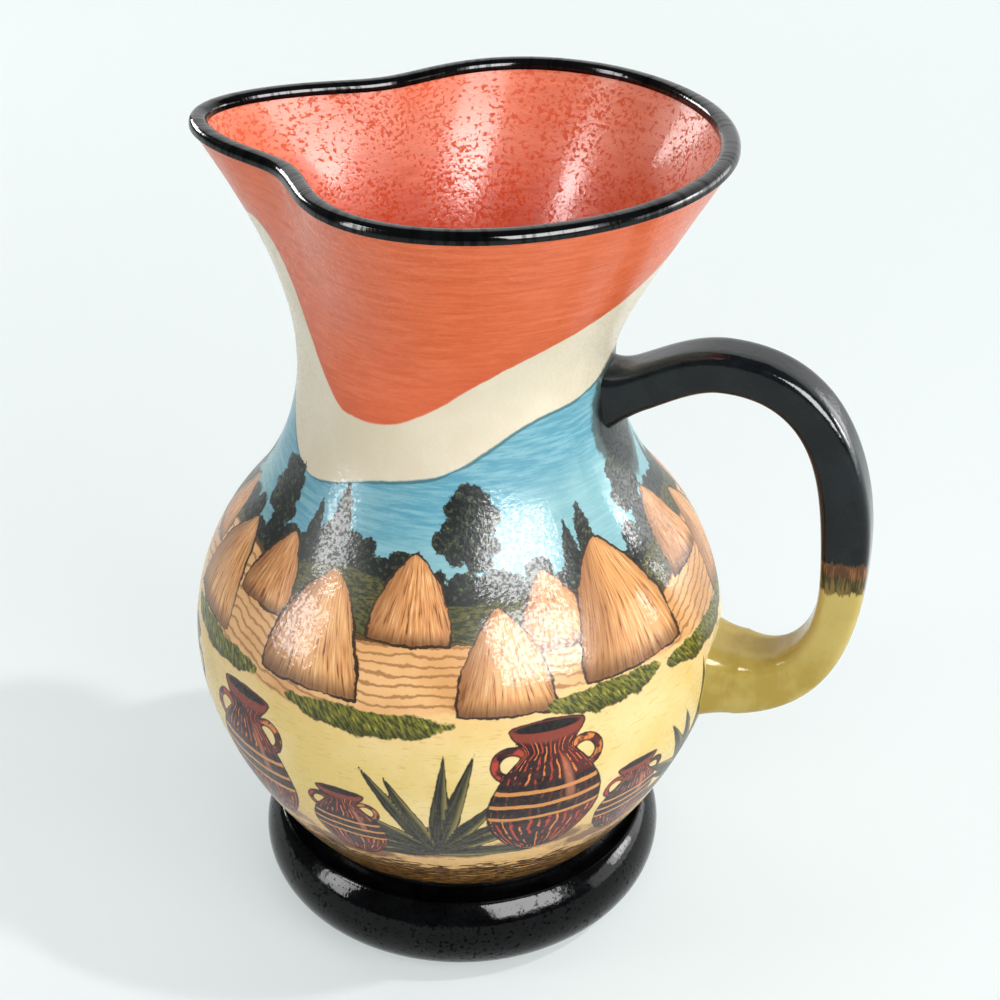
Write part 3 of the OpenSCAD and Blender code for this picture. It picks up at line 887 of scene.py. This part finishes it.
# Inner skin from the lip down to the floor
floor_z = belly_base_z + floor_t
inner_r, inner_z = even_profile(floor_z, neck_z, inner_rows, wall)[:2]
neck_inside = neck_points(neck_share, mouth_turn, -1)[::-1]
belly_inside = turned_points(inner_r, inner_z, turn)[::-1]
inner_skin = np.concatenate([neck_inside, belly_inside[1:]])
inner_normals = grid_normals(inner_skin)

# Belly: underside, outer skin, joint face, inner skin and floor, each with its material's number
PAINTED, INSIDE, BARE, INSIDE_FLOOR = range(4)
floor_corner = 6
underside = turned_points([foot_bore_r], [belly_base_z], turn)
floor_ring = turned_points(inner_r[:1] - floor_corner, [floor_z], turn)
belly_grid = np.concatenate([underside, belly_skin, belly_inside, floor_ring])
down = np.broadcast_to([0.0, 0.0, -1.0], underside.shape)
belly_normals = np.concatenate([down, whole_normals[:belly_rows], inner_normals[neck_rows - 1 :], -down])
belly_piece = make_piece(
    "painted_belly", belly_grid, belly_normals, [painted, inside, clay_bare, inside_floor],
    ["belly", "neck_slip"],
    row_material=np.repeat([BARE, PAINTED, INSIDE, INSIDE_FLOOR], [1, belly_rows - 1, inner_rows, 1]),
    caps=(BARE, INSIDE_FLOOR))
add_fields(belly_piece, slice(0, belly_rows), columns)

# Neck: outer skin and inner skin, closed at the lip and at the joint
neck_grid = np.concatenate([neck_skin, neck_inside])
neck_normals = np.concatenate([whole_normals[belly_rows - 1 :], inner_normals[:neck_rows]])
neck_piece = make_piece(
    "painted_neck", neck_grid, neck_normals, [painted, inside], ["neck"],
    closed=True, row_material=np.repeat([PAINTED, INSIDE], neck_rows))
add_fields(neck_piece, slice(belly_rows - 1, None), 0)


def rounded(c, square):
    """One coordinate of a soft square's outline."""
    return np.sign(c) * np.abs(c) ** (2 / square)


# Rim bead: a soft flat-topped coil that laps a little over both edges of the lip
bead_points = 28
bead_turn = np.arange(bead_points) * 2 * np.pi / bead_points
bead_across = rounded(np.cos(bead_turn), bead_square) * bead_w / 2
bead_up = rounded(np.sin(bead_turn), bead_square)
bead_up = np.where(bead_up > 0, bead_up * bead_h, bead_up * bead_skirt)
bead_swell = 1 + ripple((0.018, 5, 0), (0.012, 11, 40))
bead_out = bead_across[:, None] * bead_swell
bead_plan = lip_line(mouth_turn) + lip_outward(mouth_turn) * bead_out[..., None]
bead_height = lip_z + np.repeat(bead_up[:, None], columns, 1)
bead_grid = np.concatenate([bead_plan, bead_height[..., None]], -1)
bead_normals = grid_normals(bead_grid, True)
make_piece("rim_coil", bead_grid, bead_normals, [black_coil], ["rim_bead"], closed=True)


def arc(centre, radius, start, end, count):
    """Points on an arc."""
    t = np.linspace(start, end, count)
    return centre + radius * np.stack([np.cos(t), np.sin(t)], -1)


# Foot: from the hollow over the resting flat, round the outside, through the cove and under the belly
foot_columns = 220
foot_rows = 230
hollow_points = 20
round_points = 60
cove_points = 24
seat_lap = 1.5
seat_gap = 0.05
cove_end = radians(-122)
foot_c = np.array([foot_r - foot_round, foot_mid])
cove_c = np.array([seat_r + cove_out, cove_z])
between = cove_c - foot_c
gap = np.linalg.norm(between)
reach = (foot_round**2 - cove_r**2 + gap**2) / (2 * gap)
lift = sqrt(foot_round**2 - reach**2)
crest = foot_c + reach * between / gap + lift * np.array([between[1], -between[0]]) / gap
bottom_turn = -asin(foot_mid / foot_round)
hollow_turn = acos((foot_bore_r - foot_c[0]) / foot_round)
crest_turn = atan2(*(crest - foot_c)[::-1])
cove_start = atan2(*(crest - cove_c)[::-1])
foot_line = np.concatenate([
    [[foot_bore_r, belly_base_z]],
    arc(foot_c, foot_round, -hollow_turn, -pi - bottom_turn, hollow_points),
    arc(foot_c, foot_round, bottom_turn, crest_turn, round_points),
    arc(cove_c, cove_r, cove_start, cove_end, cove_points),
    [[seat_r - seat_lap, belly_base_z - seat_gap]]])
span = run_along(foot_line)
even = np.linspace(0, span[-1], foot_rows)
foot_line = np.stack([np.interp(even, span, foot_line[:, k]) for k in (0, 1)], -1)

# The foot's edges are softened by a smooth mean over a few rows
soft_reach = 6
soft_width = 2.4
soft = np.exp(-(np.arange(-soft_reach, soft_reach + 1) / soft_width) ** 2)
soft /= soft.sum()
padded_line = np.pad(foot_line, ((soft_reach, soft_reach), (0, 0)), "edge")
foot_line = np.stack([np.convolve(padded_line[:, k], soft, "valid") for k in (0, 1)], -1)
foot_line[:, 1] = np.maximum(foot_line[:, 1], 0)
foot_grid = turned_points(foot_line[:, 0], foot_line[:, 1], np.arange(foot_columns) * 360 / foot_columns)
foot_normals = grid_normals(foot_grid)
make_piece(
    "black_foot", foot_grid, foot_normals, [black], ["foot_ring", "foot_slip"], closed=True)


def curve(start, out, back, end):
    """Points on a cubic curve after its start, with a pull out of the start and one back from the end."""
    t = np.linspace(0, 1, strap_steps + 1)[1:, None]
    pulled = 3 * (start + out) * t * (1 - t) ** 2 + 3 * (end - back) * t * t * (1 - t)
    return start * (1 - t) ** 3 + pulled + end * t**3


# The strap's middle line in the handle's plane
upper_z = neck_z - upper_drop
lower_z = belly_z - lower_drop
upper_start = np.array([float(belly_radius(upper_z)), upper_z])
upper_dir = np.array([cos(root_rise), sin(root_rise)])
upper_wrist = upper_start + upper_len * upper_dir
strap_top = np.array([neck_r + top_reach, upper_z + top_rise])
strap_bend = np.array([belly_r + handle_reach, lower_z + bend_rise])
lower_start = np.array([float(belly_radius(lower_z)), lower_z])
lower_wrist = lower_start + np.array([lower_len, 0])
top_span = strap_top[0] - upper_wrist[0]
out_span = strap_bend - strap_top
in_span = strap_bend - lower_wrist
strap_line = np.concatenate([
    [upper_wrist],
    curve(upper_wrist, hold_root * top_span * upper_dir, hold_top_in * top_span * across_x, strap_top),
    curve(strap_top, hold_top * out_span[0] * across_x, hold_bend_in * out_span[1] * up_z, strap_bend),
    curve(strap_bend, -hold_bend * in_span[1] * up_z, -hold_low * in_span[0] * across_x, lower_wrist)])
strap_dir = np.gradient(strap_line, axis=0)
strap_dir[0] = upper_dir
strap_dir[-1] = -across_x
strap_dir /= np.linalg.norm(strap_dir, axis=1, keepdims=True)
strap_length = run_along(strap_line)


def growth(distance):
    """How far the strap has grown towards a root, from 0 to 1."""
    return np.maximum(0, 1 - distance / root_spread) ** 2


strap_gain = upper_gain * growth(strap_length) + lower_gain * growth(strap_length[-1] - strap_length)
shoulder_length = strap_length[2 * strap_steps] - shoulder_lead
strap_swell = shoulder_gain * np.exp(-(((strap_length - shoulder_length) / shoulder_spread) ** 2))
strap_t = handle_t + strap_gain + strap_swell
strap_w = handle_w + strap_gain
section_turn = np.arange(strap_points) * 2 * np.pi / strap_points
section_up = rounded(np.cos(section_turn), handle_square)
section_side = rounded(np.sin(section_turn), handle_square)
strap_up = strap_t[:, None] / 2 * section_up
strap_side = strap_w[:, None] / 2 * section_side
strap_x = strap_line[:, :1] - strap_dir[:, 1:] * strap_up
strap_z = strap_line[:, 1:] + strap_dir[:, :1] * strap_up
strap_rings = np.stack([strap_x, strap_side, strap_z], -1)
root_sink = 0.5


def root_rings(start, thickness, width, last_ring, wrist):
    """Rings of a root, from the belly, a little inside its skin, to the strap."""
    y = width / 2 * section_side
    z = start[1] + thickness / 2 * section_up
    face = np.stack([np.sqrt((belly_radius(z) - root_sink) ** 2 - y * y), y, z], -1)
    face_middle = np.array([start[0] - root_sink, 0, start[1]])
    last_middle = np.array([wrist[0], 0, wrist[1]])
    t = np.linspace(0, 1, root_steps + 1)[:-1, None, None]
    drawn = 1 - (1 - t) ** 2
    middle = face_middle + (last_middle - face_middle) * t
    return middle + (face - face_middle) * (1 - drawn) + (last_ring - last_middle) * drawn


upper_rings = root_rings(upper_start, upper_t, upper_w, strap_rings[0], upper_wrist)
half_turned = (3 * strap_points // 2 - np.arange(strap_points)) % strap_points
lower_rings = root_rings(lower_start, lower_t, lower_w, strap_rings[-1][half_turned], lower_wrist)
lower_rings = lower_rings[::-1][:, half_turned]
handle_grid = np.concatenate([upper_rings, strap_rings, lower_rings])
handle_normals = -grid_normals(handle_grid)
last_strap = root_steps + len(strap_rings) - 1
last_root = len(handle_grid) - 1
handle_parts = [
    ("upper_handle_root", 0, root_steps, "black_glaze", ["upper_root", "upper_root_slip"]),
    ("strap_handle", root_steps, last_strap, "handle_glaze", ["handle"]),
    ("lower_handle_root", last_strap, last_root, "yellow_glaze", ["lower_root", "lower_root_slip"]),
]
for name, low, high, slot, stands_for in handle_parts:
    grid = handle_grid[low : high + 1]
    normals = handle_normals[low : high + 1]
    make_piece(name, grid, normals, [two_tone], stands_for, flipped=True, caps=(0, 0))

# Floor: pale, with the jug's soft shadow on it, and an even glow that only the picture and the gloss see
floor_half = 4.0
floor_drop = 0.0002
floor_colour = (0.785, 0.838, 0.833, 1.0)
glow_colour = (0.87, 0.932, 0.928, 1.0)
glow_level = 0.45
floor_mesh = bpy.data.meshes.new("floor")
corners = [(x * floor_half, y * floor_half, 0) for x, y in ((-1, -1), (1, -1), (1, 1), (-1, 1))]
floor_mesh.from_pydata(corners, [], [(0, 1, 2, 3)])
floor_object = add_object("floor", floor_mesh)
floor_object.location.z = -floor_drop
pale = Shader("pale_floor")
floor_surface = {"Base Color": floor_colour, "Roughness": 0.9, "Specular IOR Level": 0.0}
for key, value in floor_surface.items():
    pale.surface.inputs[key].default_value = value
glow = pale.node("Emission", {"Color": glow_colour, "Strength": 1.0})
path = pale.node("LightPath").outputs
direct = pale.math("MAXIMUM", path["Is Camera Ray"], path["Is Glossy Ray"])
seen = pale.math("MAXIMUM", direct, path["Is Transmission Ray"])
mixed = {0: pale.times(seen, glow_level), 1: pale.surface.outputs[0], 2: glow.outputs[0]}
evened = pale.node("MixShader", mixed)
pale.put(pale.tree.nodes["Material Output"].inputs["Surface"], evened.outputs[0])
floor_mesh.materials.append(pale.material)

# World
world_colour = (0.93, 0.98, 1.0, 1.0)
world_level = 0.12
scene = bpy.context.scene
scene.world = bpy.data.worlds.new("studio")
scene.world.use_nodes = True
sky = scene.world.node_tree.nodes["Background"]
sky.inputs["Color"].default_value = world_colour
sky.inputs["Strength"].default_value = world_level


def place_lamp(data, azimuth, elevation, distance, adds):
    """Puts a lamp in a direction from the jug and points it there."""
    az, el = radians(azimuth), radians(elevation)
    way = Vector((cos(el) * cos(az), cos(el) * sin(az), sin(el)))
    lamp = add_object(data.name, data)
    lamp.location = lamp_target + way * distance
    lamp.rotation_euler = (-way).to_track_quat("-Z", "Y").to_euler()
    lamp.visible_glossy, lamp.visible_diffuse = adds


# Soft lamps: turn and lift in degrees, distance, width and height in metres, watts, and whether each adds
# gloss and light, gloss alone or light alone
lamp_target = Vector((0.0, 0.0, 0.12))
BOTH = (True, True)
GLOSS = (True, False)
LIGHT = (False, True)
soft_lamps = [
    ("window", -34, 26, 1.3, 0.95, 0.90, 11.0, BOTH),
    ("window_shine", -38, 27, 1.25, 0.82, 0.76, 46.0, GLOSS),
    ("strip_left", -147, 28, 1.3, 0.26, 0.80, 3.0, BOTH),
    ("strip_shine", -145, 15, 1.25, 0.40, 0.62, 13.0, GLOSS),
    ("right_back", 26, 13, 1.4, 0.28, 0.28, 3.2, BOTH),
    ("right_shine", 24, 10, 1.35, 0.45, 0.30, 5.5, GLOSS),
    ("right_low", 28, 6, 1.3, 1.5, 0.50, 8.5, GLOSS),
    ("strip_high", -149, 39, 1.25, 0.26, 0.26, 5.0, GLOSS),
    ("left_back", 151, 19, 1.4, 0.42, 0.30, 2.8, BOTH),
    ("left_shine", 150, 18, 1.35, 0.48, 0.30, 9.0, GLOSS),
    ("back", 84, 23, 1.5, 3.4, 1.4, 16.5, BOTH),
    ("front", -80, 38, 1.4, 0.6, 0.5, 3.8, LIGHT),
    ("top", 140, 68, 1.5, 1.2, 1.2, 3.0, LIGHT),
]
for name, azimuth, elevation, distance, width, height, watts, adds in soft_lamps:
    data = bpy.data.lights.new(f"lamp_{name}", "AREA")
    data.shape = "RECTANGLE"
    data.size = width
    data.size_y = height
    data.energy = watts
    place_lamp(data, azimuth, elevation, distance, adds)

# A key lamp like a far sun on the right, which draws the shadow on the floor
key_turn = 8
key_lift = 53
key_distance = 1.5
key_data = bpy.data.lights.new("lamp_key", "SUN")
key_data.energy = 1.06
key_data.angle = radians(3)
place_lamp(key_data, key_turn, key_lift, key_distance, LIGHT)

# Camera at the photograph's viewing angle
sensor_mm = 36.0
lens_mm = 64.8
camera_place = Vector((0.13302, -0.41356, 0.37641))
camera_forward = Vector((-0.24301, 0.83050, -0.50121)).normalized()
camera_right = Vector((0.95976, 0.28083, 0.0)).normalized()
camera_up = camera_right.cross(camera_forward)
camera_data = bpy.data.cameras.new("camera")
camera_data.sensor_width = sensor_mm
camera_data.lens = lens_mm
camera = add_object("camera", camera_data)
camera_turn = Matrix((camera_right, camera_up, -camera_forward)).transposed().to_4x4()
camera.matrix_world = Matrix.Translation(camera_place) @ camera_turn
scene.camera = camera
scene.view_settings.view_transform = "Standard"
